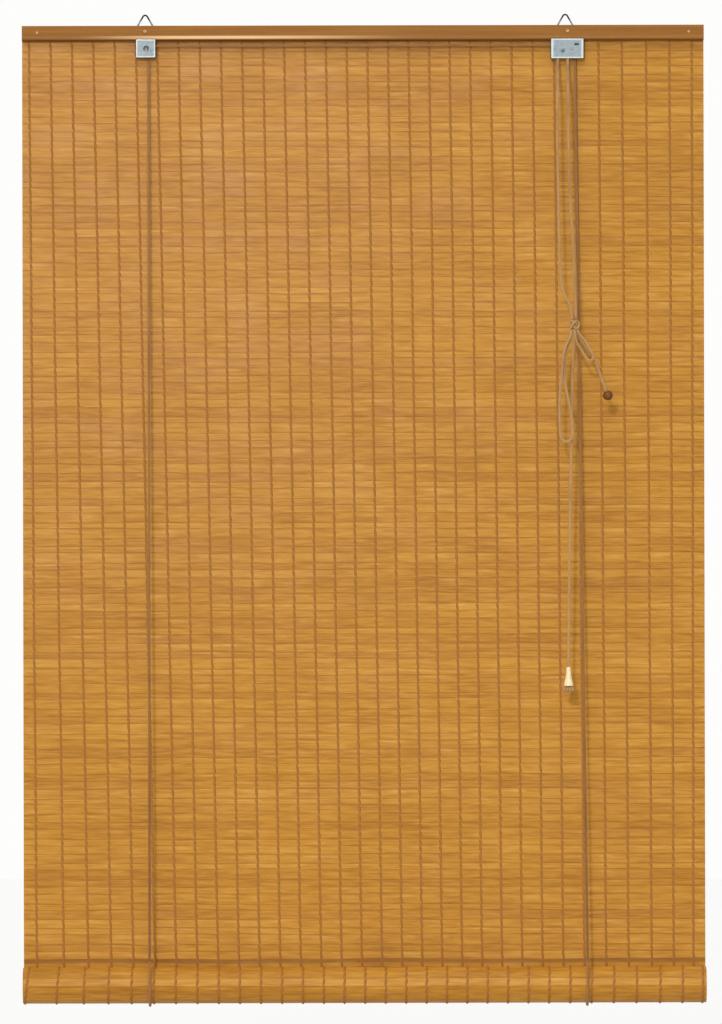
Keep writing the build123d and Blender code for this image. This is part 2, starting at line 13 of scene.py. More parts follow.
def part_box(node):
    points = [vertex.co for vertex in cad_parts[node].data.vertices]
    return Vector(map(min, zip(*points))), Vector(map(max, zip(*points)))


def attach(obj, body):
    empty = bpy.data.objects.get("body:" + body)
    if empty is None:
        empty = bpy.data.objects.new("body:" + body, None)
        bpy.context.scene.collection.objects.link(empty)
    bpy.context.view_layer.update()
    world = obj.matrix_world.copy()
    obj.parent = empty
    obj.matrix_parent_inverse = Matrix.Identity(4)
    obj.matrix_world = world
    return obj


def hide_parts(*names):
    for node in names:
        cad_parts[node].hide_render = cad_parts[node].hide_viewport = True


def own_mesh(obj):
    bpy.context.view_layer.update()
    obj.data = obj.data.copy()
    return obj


bl_info = {
    "name": "Bamboo roll up blind",
    "version": (1, 0, 0),
    "blender": (4, 5, 0),
    "location": "3D View > Sidebar > Blind",
    "description": "Dresses a roll up blind with slats, threads, cords and finishes",
    "category": "Object",
}

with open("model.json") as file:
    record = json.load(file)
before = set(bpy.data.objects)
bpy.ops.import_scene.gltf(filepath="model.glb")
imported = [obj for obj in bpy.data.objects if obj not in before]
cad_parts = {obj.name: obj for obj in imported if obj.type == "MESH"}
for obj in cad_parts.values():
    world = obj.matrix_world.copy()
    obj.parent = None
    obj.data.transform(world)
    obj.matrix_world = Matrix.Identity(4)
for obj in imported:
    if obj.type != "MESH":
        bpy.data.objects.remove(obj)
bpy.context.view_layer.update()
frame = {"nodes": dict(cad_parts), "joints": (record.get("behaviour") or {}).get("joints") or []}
travel = next(joint for joint in frame["joints"] if joint["name"] == "roll_lift")["range_m"][1]
roll_axis = next(joint for joint in frame["joints"] if joint["name"] == "roll_turn")["pos_m"]
mat_low, mat_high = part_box("mat")
mat_middle = (mat_low + mat_high) / 2
camera_place = (0.0064, -12.0, -0.6535)
camera_lens = 319.25
camera_roll = math.radians(0.12)
floor_level = -1.42
backdrop = (0.99, 0.985, 0.97, 1.0)
even_light = 0.29
floor_glow = 0.92


def paint(red, green, blue):
    """Linear colour of a paint given in the usual 0 to 255 steps."""
    return tuple(((step / 255 + 0.055) / 1.055) ** 2.4 for step in (red, green, blue))


def length_setting(name, description, default):
    """Property for a length in metres."""
    return FloatProperty(name=name, description=description, default=default, unit="LENGTH", precision=5)


def share_setting(name, description, default):
    """Property for a share or another bare number."""
    return FloatProperty(name=name, description=description, default=default)


def count_setting(name, description, default):
    """Property for a count."""
    return IntProperty(name=name, description=description, default=default, min=1)


def colour_setting(name, description, default):
    """Property for a colour."""
    return FloatVectorProperty(
        name=name, description=description, default=default, subtype="COLOR", size=3, min=0.0, max=1.0
    )


# Settings that a user would change
class MatSettings(bpy.types.PropertyGroup):
    """Sizes of the slats."""

    pitch: length_setting("Slat pitch", "Height of one slat with its joint", 0.01072)
    waver: share_setting("Pitch waver", "Share of a pitch by which joints wander", 0.16)
    beat: share_setting("Waver beat", "Turn of the wander from joint to joint", 2.4)
    hanging: count_setting("Hanging slats", "Slats above the roll", 118)
    rolled: count_setting("Rolled slats", "Slats in the roll", 30)
    bevel: length_setting("Edge bevel", "Bevel along each slat edge", 0.0003)
    bend: length_setting("Edge bend", "How far a slat edge bends along its length", 0.0005)
    tilt: length_setting("Face tilt", "How far a slat leans from its top to its foot", 0.0003)


class RollSettings(bpy.types.PropertyGroup):
    """Sizes of the roll."""

    radius: length_setting("Roll radius", "Radius to the outer slat joints", 0.0242)
    gap: length_setting("Layer gap", "Gap between two turns", 0.0003)
    thread: length_setting("Thread thickness", "Thickness of the flat thread between turns", 0.0006)


class ThreadSettings(bpy.types.PropertyGroup):
    """Sizes of the warp threads."""

    count: count_setting("Threads", "Number of warp threads", 32)
    pitch: length_setting("Thread pitch", "Distance between two threads", 0.0282)
    radius: length_setting("Thread radius", "Half the width of one thread", 0.0017)
    flatness: share_setting("Thread flatness", "Thickness over width of a thread", 0.38)
    zigzag: length_setting("Stitch slant", "Sideways reach of each stitch", 0.0005)
    lean: length_setting("Lean", "Sideways lean of the left threads from top to foot", 0.0277)
    crowding: length_setting("Crowding", "How far the right threads are pushed left at the top", 0.0139)
    skew: length_setting("Skew", "How far the roll's right end is wound past the mat's threads", 0.0132)
    slip: length_setting("Slip", "How far the leftmost thread slips aside on the roll", 0.0095)


class CordSettings(bpy.types.PropertyGroup):
    """Sizes of the cords."""

    diameter: length_setting("Cord diameter", "Diameter of the braided cord", 0.0034)
    sides: count_setting("Cord sides", "Faces round each cord", 14)
    wheel: length_setting("Wheel", "Radius at which the lift cords run over their wheels", 0.0045)
    drop: length_setting("Drop", "Straight stretch of lift cord below its wheel", 0.008)


class ColourSettings(bpy.types.PropertyGroup):
    """Colours of the finishes."""

    bamboo_dark: colour_setting("Bamboo dark", "Dark streaks of the slats", paint(160, 103, 24))
    bamboo: colour_setting("Bamboo", "Main tone of the slats", paint(190, 132, 38))
    bamboo_light: colour_setting("Bamboo light", "Light streaks of the slats", paint(213, 159, 70))
    thread: colour_setting("Thread", "Warp threads", paint(176, 117, 42))
    cord: colour_setting("Cord", "Braided cord", paint(202, 156, 94))
    # Painted shade in the valleys of the braid, also used for patches of wear.
    cord_shade_and_wear: colour_setting("Cord shade", "Valleys of the braid", paint(118, 76, 34))
    rail: colour_setting("Rail", "Varnished rails", paint(162, 108, 38))
    rail_dark: colour_setting("Rail grain", "Grain of the rails", paint(136, 84, 24))
    # Painted highlight along the lower edge of the rails.
    rail_highlight: colour_setting("Rail wear", "Worn lower edge of the rails", paint(246, 200, 146))
    knob: colour_setting("Knob", "Turned knob", paint(136, 84, 34))
    steel: colour_setting("Plated steel", "Stamped housings", paint(122, 128, 128))
    # Painted highlight along the folded edges of the housings.
    steel_highlight: colour_setting("Rubbed steel", "Edges of the housings", paint(192, 196, 190))
    bell: colour_setting("Bell", "Moulded bell", paint(248, 228, 184))


# Shader maths
class Value:
    """One socket of a node tree, with the operators that the finishes use."""

    def __init__(self, shader, socket):
        self.shader = shader
        self.socket = socket

    def out(self, key):
        """Another output of the same node."""
        return Value(self.shader, self.socket.node.outputs[key])

    def math(self, operation, *others):
        """Math node on this value and others."""
        values = dict(enumerate([self, *others]))
        return self.shader.make("ShaderNodeMath", {"operation": operation}, values)

    def between(self, low, high):
        """0 below low, 1 above high and smooth in between."""
        settings = {"interpolation_type": "SMOOTHSTEP"}
        values = {"Value": self, "From Min": low, "From Max": high}
        return self.shader.make("ShaderNodeMapRange", settings, values)

    def __add__(self, other):
        return self.math("ADD", other)

    __radd__ = __add__

    def __sub__(self, other):
        return self.math("SUBTRACT", other)

    def __rsub__(self, other):
        return self.math("MULTIPLY_ADD", -1.0, other)

    def __mul__(self, other):
        return self.math("MULTIPLY", other)

    __rmul__ = __mul__

    def __truediv__(self, other):
        return self.math("DIVIDE", other)


class Shader:
    """The node tree of a material or world, with its main shader node."""

    def __init__(self, owner, surface="Principled BSDF"):
        owner.use_nodes = True
        self.tree = owner.node_tree
        self.surface = self.tree.nodes[surface]

    def make(self, kind, settings=None, values=None, output=0):
        """Adds a node, gives it its settings first and then the values or links of its sockets."""
        node = self.tree.nodes.new(kind)
        for key, setting in (settings or {}).items():
            if key == "stops":
                self.set_ramp(node.color_ramp, setting)
            else:
                setattr(node, key, setting)
        for key, value in (values or {}).items():
            self.feed(node.inputs[key], value)
        return Value(self, node.outputs[output])

    def feed(self, socket, value):
        """Links or sets one socket."""
        if isinstance(value, Value):
            self.tree.links.new(value.socket, socket)
        else:
            socket.default_value = value

    def set_ramp(self, ramp, stops):
        """Gives a colour ramp its stops."""
        for place, colour in stops[1:-1]:
            ramp.elements.new(place).color = (*colour, 1.0)
        for end, (place, colour) in ((0, stops[0]), (-1, stops[-1])):
            ramp.elements[end].position = place
            ramp.elements[end].color = (*colour, 1.0)

    def mix(self, share, first, second):
        """Mix of two colours."""
        values = {0: share, 6: as_colour(first), 7: as_colour(second)}
        return self.make("ShaderNodeMix", {"data_type": "RGBA"}, values, 2)

    def noise(self, spot, detail=2.0, roughness=0.5, distortion=0.0):
        """Noise from 0 to 1 at a spot."""
        values = {"Vector": spot, "Scale": 1.0, "Detail": detail, "Roughness": roughness}
        values["Distortion"] = distortion
        return self.make("ShaderNodeTexNoise", None, values)

    def chance(self, first, second=0.0):
        """Random value from 0 to 1, the same wherever both numbers are the same."""
        settings = {"noise_dimensions": "2D"}
        return self.make("ShaderNodeTexWhiteNoise", settings, {"Vector": self.point(first, second)})

    def axes(self, kind):
        """X, Y and Z of the coordinates of a kind, as three outputs of one value."""
        return self.make("ShaderNodeSeparateXYZ", None, {0: self.make("ShaderNodeTexCoord").out(kind)})

    def point(self, across, along=0.0, third=0.0):
        """Vector from three values."""
        return self.make("ShaderNodeCombineXYZ", None, {0: across, 1: along, 2: third})

    def stretched(self, size):
        """Object coordinates, counted in steps of the given size along each way."""
        spot = self.make("ShaderNodeTexCoord").out("Object")
        steps = tuple(1 / step for step in size)
        return self.make("ShaderNodeMapping", None, {"Vector": spot, "Scale": steps})

    def bump(self, height, depth, strength):
        """Relief of a given depth in metres."""
        values = {"Height": height, "Distance": depth, "Strength": strength}
        self.set(Normal=self.make("ShaderNodeBump", None, values))

    def seen(self):
        """1 where the camera, a gloss or something clear looks, and 0 for other rays."""
        path = self.make("ShaderNodeLightPath")
        direct = path.out("Is Camera Ray").math("MAXIMUM", path.out("Is Glossy Ray"))
        return direct.math("MAXIMUM", path.out("Is Transmission Ray"))

    def set(self, **values):
        """Feeds sockets of the main shader, named with _ for a space."""
        for key, value in values.items():
            self.feed(self.surface.inputs[key.replace("_", " ")], value)


def as_colour(value):
    """A link as it is, and a colour with its alpha."""
    return value if isinstance(value, Value) else (*value, 1.0)


# Finishes
# Distance between two threads, by which the grain of the slats is measured
field_width = 0.0273


def slat_wood(shader, colours, fields, slats):
    """Tone of each slat with its fibres and soft streaks: its colour, fibres and streaks."""
    number = slats.math("FLOOR")
    along = fields * field_width
    tone = shader.chance(number)
    shifted = along + tone * 7.0
    fibres = shader.noise(shader.point(shifted * 15.0, (slats - number) * 16.0, number * 1.37), 3.0)
    streaks = shader.noise(shader.point(shifted * 34.0, (slats - number) * 4.0, number * 2.11), 2.0)
    patches = shader.noise(shader.point(along * 9.0, slats * 0.4, 0.5), 2.0)
    cells = shader.chance(fields.math("FLOOR"), number)
    shade = fibres * 0.4 + streaks * 0.6 + patches * 0.4 + tone * 0.14 + cells * 0.06 - 0.35
    stops = [(0.2, colours.bamboo_dark), (0.5, colours.bamboo), (0.86, colours.bamboo_light)]
    return shader.make("ShaderNodeValToRGB", {"stops": stops}, {0: shade}), fibres, streaks


def slat_joints(shader, fields, slats):
    """Broken dark dashes along the joints between slats, and the thin groove in them."""
    joint = (slats + 0.5).math("FLOOR")
    away = (slats - joint).math("ABSOLUTE")
    dashes = shader.noise(shader.point(fields * field_width * 26.0, joint * 3.1, 0.2), 2.0)
    broken = (dashes + shader.chance(fields.math("FLOOR"), joint) * 0.15).between(0.48, 0.78)
    return (1 - away.between(0.0, 0.3)) * broken, (1 - away.between(0.0, 0.06)) * 0.07


def slat_gleam(shader, fields, slats):
    """Where the upper part of a slat catches the light."""
    number = slats.math("FLOOR")
    across = slats - number
    shifted = fields * field_width + shader.chance(number) * 7.0
    gleams = shader.noise(shader.point(shifted * 24.0, number * 2.3, 0.7), 2.0)
    return across.between(0.5, 0.7) * (1 - across.between(0.75, 0.95)) * gleams.between(0.5, 0.75)


def crease_shadow(slats):
    """Painted shadow: a dark line where the mat goes behind the top of the roll."""
    sizes = bpy.context.scene.blind_mat
    crease = sizes.hanging - bpy.context.scene.blind_roll.radius / sizes.pitch
    return slats.between(crease - 0.3, crease) * (1 - slats.between(crease + 0.1, crease + 0.6))


def sheen_and_blotches(shader, fields, slats):
    """Painted sheen that pales the mat most of all up on the left, and soft pale blotches of the mat's own
    tone, which the painted sheen makes stronger.
    """
    spot = shader.axes("Object")
    painted_sheen = (1 - spot.out("X").between(-0.15, 0.4)) * spot.out("Z").between(-1.1, -0.1)
    blotches = shader.noise(shader.point(fields * field_width * 14.0, slats * 0.35, 3.5), 2.0)
    return painted_sheen * 0.12 + blotches.between(0.45, 0.7) * (painted_sheen * 0.1 + 0.03)


def bamboo_finish(shader, colours):
    """Split bamboo, on a UV map that counts thread fields in X and slats in Y."""
    split = shader.axes("UV")
    fields = split.out("X")
    slats = split.out("Y")
    wood, fibres, streaks = slat_wood(shader, colours, fields, slats)
    dash, groove = slat_joints(shader, fields, slats)
    lined = shader.mix(dash * 0.45 + groove, wood, paint(136, 84, 18))
    lit = shader.mix(slat_gleam(shader, fields, slats) * 0.3, lined, paint(228, 178, 98))
    # Painted shadow where the mat goes behind the roll.
    shaded = shader.mix(crease_shadow(slats) * 0.55, lit, paint(112, 58, 14))
    # Painted sheen and pale blotches, toward a pale pink.
    shader.set(
        Base_Color=shader.mix(sheen_and_blotches(shader, fields, slats), shaded, paint(214, 160, 124)),
        Roughness=fibres * 0.25 + 0.38,
        Coat_Weight=streaks * 0.1,
    )
    shader.set(Coat_Roughness=0.35, Specular_IOR_Level=0.2)
    shader.bump(fibres * 0.5 + streaks * 0.5 - dash * 0.6, 0.0003, 0.5)


def long_grain(shader, light, dark):
    """Wood with long grain along X, as its colour and its pores."""
    rings = shader.noise(shader.stretched((0.16, 0.004, 0.005)), 4.0, 0.55, 0.8)
    pores = shader.noise(shader.stretched((0.018, 0.0005, 0.0005)), 2.0)
    shade = rings * 0.75 + pores * 0.35 - 0.05
    grain = shader.make("ShaderNodeValToRGB", {"stops": [(0.3, dark), (0.72, light)]}, {0: shade})
    shader.bump(pores, 0.00015, 0.5)
    return grain, pores


def rail_finish(shader, colours):
    """Varnished rail, with a painted highlight as a pale band above its lower edge, and painted shade that
    darkens that edge.
    """
    grain, pores = long_grain(shader, colours.rail, colours.rail_dark)
    spot = shader.axes("Object")
    across = spot.out("X")
    height = spot.out("Z")
    # Painted highlight: a pale band above the rounded lower edge, strongest toward the left.
    band = height.between(-0.0296, -0.0278) * (1 - height.between(-0.0258, -0.0238))
    reach = across.between(-0.38, -0.22) * (1 - across.between(-0.17, 0.1))
    wear_and_highlight = band * (reach * 0.86 + 0.05)
    pale = shader.mix(wear_and_highlight, grain, colours.rail_highlight)
    # Painted shade: darkens the lower edge of the rail, less toward the right.
    edge = (1 - height.between(-0.0312, -0.0288)) * (1 - across.between(0.0, 0.4) * 0.4)
    shader.set(
        Base_Color=shader.mix(edge * 0.85, pale, paint(78, 40, 8)),
        Roughness=pores * 0.2 + 0.34,
        Coat_Weight=wear_and_highlight * 0.2 + 0.03,
    )
    shader.set(Coat_Roughness=0.25, Specular_IOR_Level=0.15)


def batten_finish(shader, colours):
    """Plain batten."""
    grain, pores = long_grain(shader, colours.bamboo_light, colours.rail)
    shader.set(Base_Color=grain, Roughness=pores * 0.2 + 0.5)


def knob_finish(shader, colours):
    """Stained knob with rings of grain and dark stain blotches."""
    grain = shader.noise(shader.stretched((0.004, 0.004, 0.0007)), 3.0, 0.6, 0.5)
    stain = shader.noise(shader.stretched((0.006, 0.006, 0.006)), 2.0)
    wood = shader.mix(grain.between(0.35, 0.68), paint(92, 50, 16), colours.knob)
    shader.set(
        Base_Color=shader.mix(stain.between(0.4, 0.75) * 0.6, wood, paint(74, 40, 14)),
        Roughness=grain * 0.2 + 0.4,
    )
    shader.set(Specular_IOR_Level=0.25)
    shader.bump(grain, 0.0003, 0.6)


def thread_finish(shader, colours):
    """Twisted cotton thread."""
    split = shader.axes("UV")
    ply = ((split.out("X") * 2.0 + split.out("Y") * 700.0) * math.tau).math("SINE") * 0.5 + 0.5
    fuzz = shader.noise(shader.stretched((0.0012, 0.0012, 0.003)), 3.0)
    lit = shader.mix(ply * 0.5 + fuzz * 0.4, paint(150, 95, 28), colours.thread)
    shader.set(Base_Color=lit, Roughness=fuzz * 0.2 + 0.7)
    shader.bump(ply + fuzz, 0.0002, 0.7)


def braid(shader, light, dark):
    """Braided cord, with strands that cross on a diamond pattern and a few loose fibres."""
    split = shader.axes("UV")
    around = split.out("X") * 4.0
    along = split.out("Y") * 300.0
    first = ((around + along) * math.tau).math("SINE")
    second = ((around - along) * math.tau).math("SINE")
    strand = first.math("MAXIMUM", second) * 0.5 + 0.5
    fuzz = shader.noise(shader.stretched((0.0015, 0.0015, 0.004)), 3.0)
    wear_and_highlight = shader.noise(shader.stretched((0.02, 0.02, 0.05)), 2.0)
    # The dark colour is painted shade in the valleys between strands; it also darkens patches of wear.
    weave = shader.mix(strand * 0.8 + fuzz * 0.3, dark, light)
    shader.set(
        Base_Color=shader.mix(wear_and_highlight.between(0.45, 0.8) * 0.45, weave, dark),
        Roughness=fuzz * 0.2 + 0.65,
    )
    shader.set(Sheen_Weight=0.25)
    shader.bump(strand + fuzz * 0.5, 0.0003, 0.8)


def cord_finish(shader, colours):
    """Pull cord, pale and clean."""
    braid(shader, colours.cord, colours.cord_shade_and_wear)


def lift_cord_finish(shader, colours):
    """Lift cord, browner than the pull cords."""
    braid(shader, paint(170, 114, 44), paint(112, 68, 20))


def plated(shader, colours, node):
    """Zinc plated sheet with a fine spangle and dull patches, a painted highlight along its folded edges and
    a dark rim outside that.
    """
    low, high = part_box(node)
    middle = (low + high) / 2
    spot = shader.axes("Object")
    across = (spot.out("X") - middle.x).math("ABSOLUTE") / ((high.x - low.x) / 2)
    rise = (spot.out("Z") - middle.z).math("ABSOLUTE") / ((high.z - low.z) / 2)
    margin = across.math("MAXIMUM", rise)
    # Painted highlight in a band along the folded edges.
    edge_highlight = margin.between(0.76, 0.92)
    rim = margin.between(0.93, 0.97)
    grains = shader.stretched((0.0022, 0.0022, 0.0022))
    spangle = shader.make("ShaderNodeTexVoronoi", None, {"Vector": grains, "Scale": 1.0}).out("Distance")
    haze = shader.noise(shader.stretched((0.006, 0.006, 0.006)), 3.0)
    scratch = shader.noise(shader.stretched((0.012, 0.0006, 0.0006)), 2.0)
    dull = shader.mix(haze.between(0.42, 0.66) * 0.4, colours.steel, paint(84, 104, 122))
    grained = shader.mix(spangle * 0.2, dull, paint(118, 138, 154))
    bright = shader.mix(edge_highlight * 0.6, grained, colours.steel_highlight)
    shader.set(
        Base_Color=shader.mix(rim, bright, paint(84, 82, 76)),
        Metallic=haze * 0.3 + 0.6,
        Roughness=spangle * 0.2 + scratch * 0.2 + 0.22,
    )
    shader.bump(scratch + spangle * 0.4, 0.0001, 0.5)


def left_plate_finish(shader, colours):
    """Plated steel of the left housing and its axle."""
    plated(shader, colours, "left_housing")


def right_plate_finish(shader, colours):
    """Plated steel of the right housing and its axles."""
    plated(shader, colours, "right_housing")


def steel(shader, light, dark, rough):
    """Bare steel with drawn lines and dark spots. Returns its colour."""
    lines = shader.noise(shader.stretched((0.0008, 0.0008, 0.006)), 3.0)
    spots = shader.noise(shader.stretched((0.003, 0.003, 0.003)), 3.0)
    bare = shader.mix(spots.between(0.45, 0.7) * 0.7, light, dark)
    shader.set(Base_Color=bare, Metallic=spots * -0.2 + 1.0, Roughness=lines * 0.25 + rough)
    shader.bump(lines, 0.00008, 0.5)
    return bare


def screw_finish(shader, colours):
    """Bright screws."""
    steel(shader, paint(226, 226, 224), paint(150, 150, 150), 0.2)


def wire_finish(shader, colours):
    """Dull wire of the loops, with painted shade that darkens the bend that hangs on its nail."""
    bare = steel(shader, paint(150, 150, 142), paint(84, 82, 78), 0.3)
    # Painted shade at the bend.
    bend = shader.axes("Object").out("Z").between(-0.0075, -0.0005)
    shader.set(Base_Color=shader.mix(bend, bare, paint(34, 36, 40)))


def pin_finish(shader, colours):
    """Blued pin of the lock cam."""
    steel(shader, paint(84, 100, 108), paint(48, 56, 62), 0.3)


def nail_finish(shader, colours):
    """Dull brass of the nails and of the screws below the loops."""
    steel(shader, paint(168, 132, 98), paint(120, 92, 66), 0.4)


def moulded(shader, light, dark, rough):
    """Moulded plastic with soft mottling and a fine skin."""
    cloud = shader.noise(shader.stretched((0.004, 0.004, 0.004)), 3.0)
    skin = shader.noise(shader.stretched((0.0004, 0.0004, 0.0004)), 2.0)
    shader.set(
        Base_Color=shader.mix(cloud.between(0.4, 0.75) * 0.7, light, dark),
        Roughness=skin * 0.15 + rough,
    )
    shader.bump(skin, 0.00006, 0.4)


def wheel_finish(shader, colours):
    """Grey wheels."""
    moulded(shader, paint(128, 142, 154), paint(92, 104, 116), 0.35)


def cam_finish(shader, colours):
    """Dark lock cam."""
    moulded(shader, paint(58, 60, 64), paint(34, 34, 36), 0.4)


def bell_finish(shader, colours):
    """Cream bell, mottled with a darker cream."""
    moulded(shader, colours.bell, paint(226, 196, 142), 0.35)


finish_makers = {
    "bamboo": bamboo_finish,
    "rail_wood": rail_finish,
    "batten_wood": batten_finish,
    "knob_wood": knob_finish,
    "thread": thread_finish,
    "cord": cord_finish,
    "lift_cord": lift_cord_finish,
    "left_plate": left_plate_finish,
    "right_plate": right_plate_finish,
    "screw_steel": screw_finish,
    "wire_steel": wire_finish,
    "pin_steel": pin_finish,
    "nail_steel": nail_finish,
    "wheel_plastic": wheel_finish,
    "cam_plastic": cam_finish,
    "bell_plastic": bell_finish,
}
finishes = {}


def finish(name):
    """The finish of that name, made when it is first asked for."""
    if name not in finishes:
        material = bpy.data.materials.new(f"{name}_finish")
        finish_makers[name](Shader(material), bpy.context.scene.blind_colours)
        finishes[name] = material
    return finishes[name]


# Helpers that turn a bmesh into a piece of the blind
def dress(finish_name, *nodes):
    """Gives solids of the frame their finish."""
    for node in nodes:
        materials = frame["nodes"][node].data.materials
        materials.clear()
        materials.append(finish(finish_name))


def place_piece(bm, name, finish_name, body, slot, *nodes):
    """Turns a bmesh into an object that rides on a body and stands for solids of the frame."""
    mesh = bpy.data.meshes.new(name)
    bm.to_mesh(mesh)
    bm.free()
    piece = bpy.data.objects.new(name, mesh)
    bpy.context.scene.collection.objects.link(piece)
    mesh.materials.append(finish(finish_name))
    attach(piece, body)
    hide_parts(*nodes)
    return piece


def gather(piece, top):
    """Gives a hanging piece its own mesh; the share to which it would shorten as the roll climbs is worked
    out but not used.
    """
    low = min(vert.co.z for vert in piece.data.vertices)
    1 - travel / (top - low)
    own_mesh(piece)


def smooth_route(points):
    """Points along the smooth line of a NURBS spline that has the route's points as its own."""
    curve = bpy.data.curves.new("route", "CURVE")
    curve.dimensions = "3D"
    curve.resolution_u = 10
    spline = curve.splines.new("NURBS")
    spline.points.add(len(points) - 1)
    for spot, place in zip(spline.points, points):
        spot.co = (*place, 1.0)
    spline.order_u = 3
    spline.use_endpoint_u = True
    holder = bpy.data.objects.new("route", curve)
    bpy.context.scene.collection.objects.link(holder)
    bpy.context.view_layer.update()
    mesh = bpy.data.meshes.new_from_object(holder.evaluated_get(bpy.context.evaluated_depsgraph_get()))
    line = [mesh.vertices[0].co.copy()]
    for vert in mesh.vertices:
        if (vert.co - line[-1]).length > 1e-5:
            line.append(vert.co.copy())
    bpy.data.objects.remove(holder)
    bpy.data.curves.remove(curve)
    bpy.data.meshes.remove(mesh)
    return line


def tube(line, radius, sides, closed=False):
    """Bmesh of a tube along a line, with a UV map that counts turns round it and metres along it."""
    bm = bmesh.new()
    around = bm.verts.layers.float.new("around")
    along = bm.verts.layers.float.new("along")
    last = len(line) - 1
    if closed:
        ways = [line[(i + 1) % len(line)] - line[i - 1] for i in range(len(line))]
    else:
        ways = [line[min(i + 1, last)] - line[max(i - 1, 0)] for i in range(len(line))]
    ways = [way.normalized() for way in ways]
    start = Matrix.Translation(line[0]) @ ways[0].to_track_quat("Z", "Y").to_matrix().to_4x4()
    bmesh.ops.create_circle(bm, segments=sides, radius=radius, matrix=start)
    for number, vert in enumerate(bm.verts):
        vert[around] = number / sides
    first = list(bm.edges)
    ring = first
    reach = 0.0
    for here in range(1, len(line)):
        made = bmesh.ops.extrude_edge_only(bm, edges=ring)["geom"]
        verts = [item for item in made if isinstance(item, bmesh.types.BMVert)]
        fresh = set(verts)
        edges = [item for item in made if isinstance(item, bmesh.types.BMEdge)]
        ring = [edge for edge in edges if fresh.issuperset(edge.verts)]
        turn = ways[here - 1].rotation_difference(ways[here]).to_matrix()
        bmesh.ops.rotate(bm, verts=verts, cent=line[here - 1], matrix=turn)
        step = line[here] - line[here - 1]
        bmesh.ops.translate(bm, verts=verts, vec=step)
        reach += step.length
        for vert in verts:
            vert[along] = reach
    if closed:
        bmesh.ops.bridge_loops(bm, edges=first + ring)
    else:
        bmesh.ops.contextual_create(bm, geom=first)
        bmesh.ops.contextual_create(bm, geom=ring)
    layer = bm.loops.layers.uv.new("UVMap")
    for face in bm.faces:
        face.smooth = True
        turns = [loop.vert[around] for loop in face.loops]
        seam = max(turns) - min(turns) > 0.5
        for loop, part in zip(face.loops, turns):
            loop[layer].uv = (part + 1.0 if seam and part < 0.5 else part, loop.vert[along])
    bm.verts.layers.float.remove(around)
    bm.verts.layers.float.remove(bm.verts.layers.float["along"])
    bmesh.ops.recalc_face_normals(bm, faces=bm.faces)
    return bm


# Slats
def thread_spots(fall):
    """Place of each thread across the mat, where fall goes from 0 at the top to 1 at the foot."""
    sizes = bpy.context.scene.blind_thread
    first = mat_middle.x - sizes.pitch * (sizes.count - 1) / 2
    spots = []
    for number in range(sizes.count):
        share = number / (sizes.count - 1)
        push = math.sin(math.pi * min(share, 0.95) ** 3.3)
        spread = 0.55 * share ** 6 - 0.27
        lean = (1 - share) ** 0.6 * (1 - 0.7 * math.exp(-number / 1.9))
        even = first + sizes.pitch * number
        spots.append(even + sizes.crowding * (spread - push) + sizes.lean * lean * fall)
    return spots


def roll_spots():
    """Place of each thread on the roll, which is wound a little askew."""
    sizes = bpy.context.scene.blind_thread
    spots = thread_spots(1)
    return [spot + sizes.skew * (number / (sizes.count - 1) - 0.2) for number, spot in enumerate(spots)]


def slat_edge(number):
    """Height of the joint above the slat of that number."""
    sizes = bpy.context.scene.blind_mat
    return mat_high.z - sizes.pitch * (number + sizes.waver * math.sin(sizes.beat * number))


def slat_foot(number):
    """Height of the joint below a hanging slat, which for the last one is the foot of the mat."""
    hanging = bpy.context.scene.blind_mat.hanging
    return mat_low.z if number == hanging - 1 else slat_edge(number + 1)


def long_edges(bm):
    """Edges that run along a slat."""
    return [edge for edge in bm.edges if abs(edge.verts[0].co.x - edge.verts[1].co.x) > 0.1]


def slat_blank(sizes):
    """Mesh of one slat about its own middle, bevelled and cut once for each thread."""
    width = mat_high.x - mat_low.x
    cuts = bpy.context.scene.blind_thread.count
    shape = Matrix.Diagonal((width, mat_high.y - mat_low.y, sizes.pitch, 1.0))
    bm = bmesh.new()
    bmesh.ops.create_cube(bm, size=1.0, matrix=shape)
    bmesh.ops.bevel(
        bm, geom=long_edges(bm), offset=sizes.bevel, segments=1, profile=0.5, affect="EDGES", material=-1
    )
    bmesh.ops.subdivide_edges(bm, edges=long_edges(bm), cuts=cuts)
    layer = bm.loops.layers.uv.new("UVMap")
    for face in bm.faces:
        for loop in face.loops:
            spot = loop.vert.co
            loop[layer].uv = ((spot.x / width + 0.5) * (cuts + 1), 0.5 + 0.998 * spot.z / sizes.pitch)
    mesh = bpy.data.meshes.new("slat_blank")
    bm.to_mesh(mesh)
    bm.free()
    return mesh


def at_threads(spots, spot):
    """Place across the mat of a point of the blank, with its cuts on the threads."""
    marks = [mat_low.x, *spots, mat_high.x]
    share = spot.x / (mat_high.x - mat_low.x) + 0.5
    return marks[round(share * (len(marks) - 1))]


def lay_slats(blank, count, first_number, place):
    """Bmesh of slats, where place(number, spot) says where a point of the blank goes."""
    bm = bmesh.new()
    for number in range(count):
        old_verts = len(bm.verts)
        old_faces = len(bm.faces)
        bm.from_mesh(blank)
        bm.verts.ensure_lookup_table()
        bm.faces.ensure_lookup_table()
        layer = bm.loops.layers.uv.active
        for vert in bm.verts[old_verts:]:
            vert.co = place(number, vert.co)
        for face in bm.faces[old_faces:]:
            for loop in face.loops:
                loop[layer].uv.y += number + first_number
    return bm


